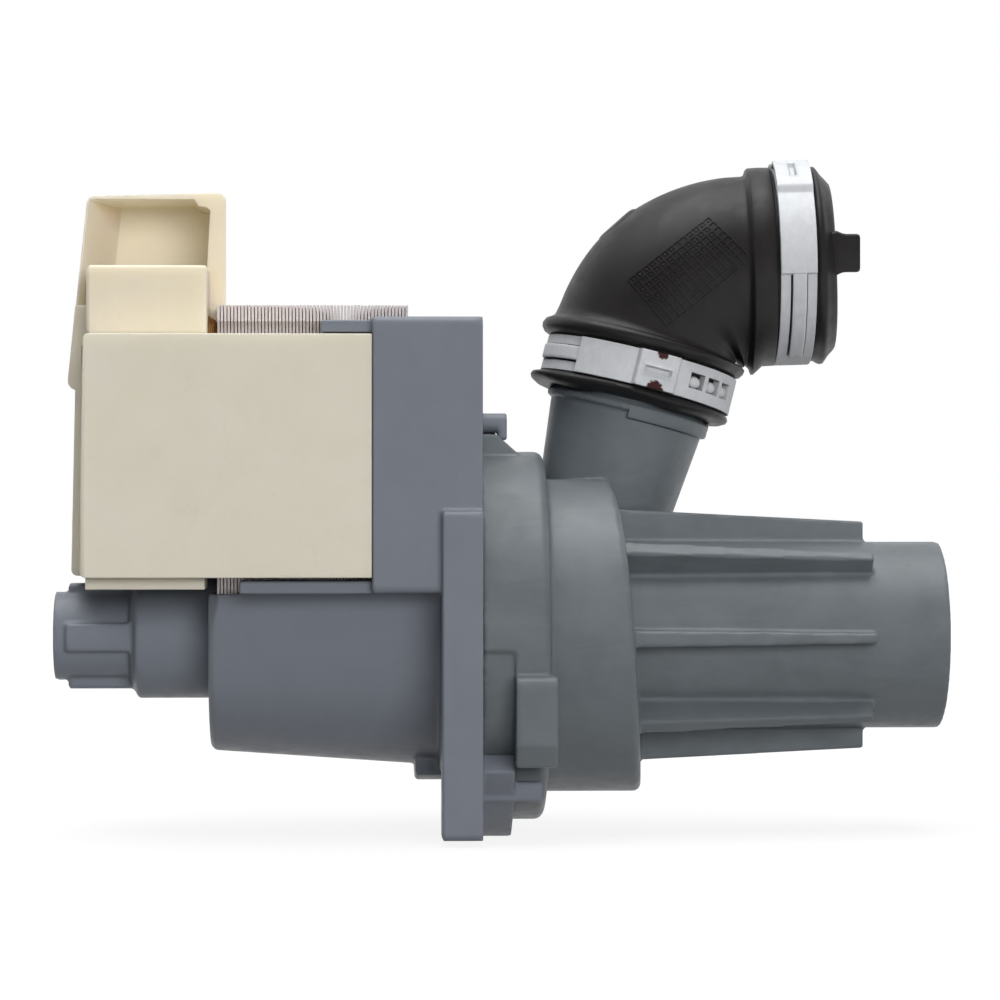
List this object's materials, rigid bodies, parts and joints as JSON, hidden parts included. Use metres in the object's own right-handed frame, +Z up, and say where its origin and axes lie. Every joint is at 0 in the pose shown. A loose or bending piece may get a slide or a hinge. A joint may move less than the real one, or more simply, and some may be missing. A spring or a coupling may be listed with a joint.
{
  "type": "dishwasher circulation pump",
  "caption": "Circulation pump with a ribbed suction spigot, volute and bowl, wet rotor motor under cream coil covers, plug housing, and a rubber outlet elbow held by two band clamps.",
  "frame": {"origin": "centre of the suction spigot's end face, on the rotor axis", "axes": "+X along the rotor axis out of the suction spigot, +Z up towards the outlet and the plug housing"},
  "size_m": [0.1692, 0.0758, 0.13],
  "materials": {
    "casing_plastic": "moulded, slightly glossy",
    "motor_plastic": "moulded, satin",
    "cream_plastic": "moulded, satin",
    "connector_plastic": "moulded, satin",
    "impeller_plastic": "moulded, satin",
    "cutout_plastic": "moulded, satin",
    "hose_rubber": "moulded, dull",
    "rubber": "moulded, dull",
    "bearing_carbon": "pressed carbon, fine grain",
    "magnet_ferrite": "sintered, fine grain",
    "core_steel": "stacked punched sheets",
    "band_steel": "zinc plated",
    "bright_steel": "ground",
    "winding_copper": "enamelled wire under varnish"
  },
  "bodies": {
    "pump": {"pump_casing": "casing_plastic", "casing_seal": "rubber", "motor_housing": "motor_plastic", "rotor_can": "motor_plastic", "can_gasket": "rubber", "bearing_plate": "motor_plastic", "front_bearing": "bearing_carbon", "front_bearing_holder": "rubber", "rear_bearing": "bearing_carbon", "rear_bearing_holder": "rubber", "stator_core": "core_steel", "front_bobbin": "cream_plastic", "rear_bobbin": "cream_plastic", "front_winding": "winding_copper", "rear_winding": "winding_copper", "front_coil_cover": "cream_plastic", "rear_coil_cover": "cream_plastic", "terminal_block": "connector_plastic", "connector_shroud": "connector_plastic", "terminal_blades": "bright_steel", "thermal_cutout": "cutout_plastic", "elbow_hose": "hose_rubber", "lower_clamp": "band_steel", "upper_clamp": "band_steel"},
    "rotor": {"shaft": "bright_steel", "rotor_magnet": "magnet_ferrite", "rotor_sleeve": "impeller_plastic", "front_thrust_washer": "bright_steel", "rear_thrust_washer": "bright_steel", "impeller": "impeller_plastic", "impeller_shroud": "impeller_plastic", "impeller_nut": "impeller_plastic"}
  },
  "joints": [
    {"name": "rotor_spin", "type": "hinge", "parent": "pump", "child": "rotor", "pos_m": [-0.1, 0, 0], "axis": [1, 0, 0], "continuous": true}
  ]
}
